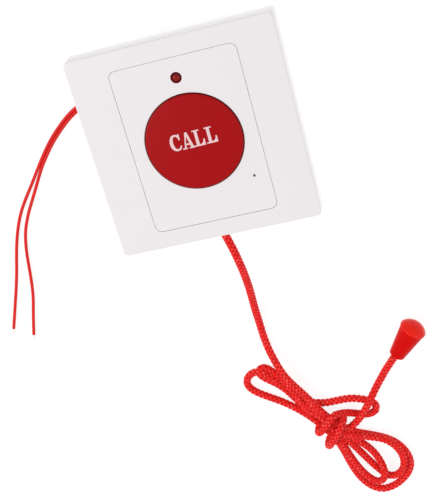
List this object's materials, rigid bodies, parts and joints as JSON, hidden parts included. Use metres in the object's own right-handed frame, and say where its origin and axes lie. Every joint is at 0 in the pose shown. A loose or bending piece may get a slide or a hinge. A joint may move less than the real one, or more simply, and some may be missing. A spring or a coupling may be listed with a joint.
{
  "type": "emergency pull cord alarm",
  "caption": "Square wall plate with a large round call button, indicator lamp and reset pinhole, on a shallow case, with a braided pull cord ending in a bell-shaped handle.",
  "frame": {"origin": "middle of the back of the rear case", "axes": "+X right across the plate, +Y up the plate towards the indicator lamp, +Z out of the face"},
  "size_m": [0.1906, 0.2475, 0.0336],
  "materials": {
    "white_gloss": "glossy moulded white",
    "white_case": "satin moulded white",
    "natural_plastic": "satin",
    "red_button": "satin gloss red",
    "spring_steel": "drawn wire",
    "board_green": "solder mask",
    "resistor_tan": "lacquered",
    "screw_zinc": "zinc plated",
    "switch_black": "satin",
    "plunger_white": "satin",
    "red_lens": "tinted diffused lens",
    "tinned_metal": "tinned",
    "red_cord": "braided",
    "red_bell": "satin gloss",
    "red_insulation": "smooth",
    "grommet_black": "smooth"
  },
  "bodies": {
    "housing": {"surround_frame": "white_gloss", "front_panel": "white_gloss", "rear_case": "white_case", "inner_chassis": "natural_plastic", "button_spring": "spring_steel", "circuit_board": "board_green", "resistors": "resistor_tan", "board_screws": "screw_zinc", "case_screws": "screw_zinc", "push_switch": "switch_black", "reset_switch": "switch_black", "led_lens": "red_lens", "led_leads": "tinned_metal", "pull_springs": "spring_steel", "pull_switch": "switch_black", "cord_guide": "white_gloss", "wire_a": "red_insulation", "wire_b": "red_insulation", "wire_tips": "tinned_metal", "wire_grommet": "grommet_black", "wire_connector": "plunger_white"},
    "call_button": {"button_cap": "red_button", "push_plunger": "plunger_white"},
    "pull_assembly": {"pull_slider": "natural_plastic", "stop_knot": "red_cord", "cord_lead": "red_cord", "cord_hank": "red_cord", "cord_bight": "red_cord", "cord_tail": "red_cord", "bell_cone": "red_bell", "bell_lid": "red_bell", "end_knot": "red_cord"},
    "switch_plunger": {"pull_switch_plunger": "plunger_white"},
    "reset_button": {"reset_stem": "plunger_white"}
  },
  "joints": [
    {"name": "button_press", "type": "slide", "parent": "housing", "child": "call_button", "axis": [0, 0, -1], "range_m": [0, 0.0025], "stiffness_N_per_m": 700, "springref_m": -0.003, "deforming": ["button_spring"]},
    {"name": "cord_pull", "type": "slide", "parent": "housing", "child": "pull_assembly", "axis": [0, -1, 0], "range_m": [0, 0.004], "stiffness_N_per_m": 1200, "springref_m": -0.003, "deforming": ["pull_springs"]},
    {"name": "pull_switch_press", "type": "slide", "parent": "housing", "child": "switch_plunger", "axis": [1, 0, 0], "range_m": [0, 0.001]},
    {"name": "reset_press", "type": "slide", "parent": "housing", "child": "reset_button", "axis": [0, 0, -1], "range_m": [0, 0.0003], "stiffness_N_per_m": 800, "springref_m": -0.0006}
  ],
  "couplings": [
    {"joint": "pull_switch_press", "follows": "cord_pull", "ratio": 0.25}
  ]
}
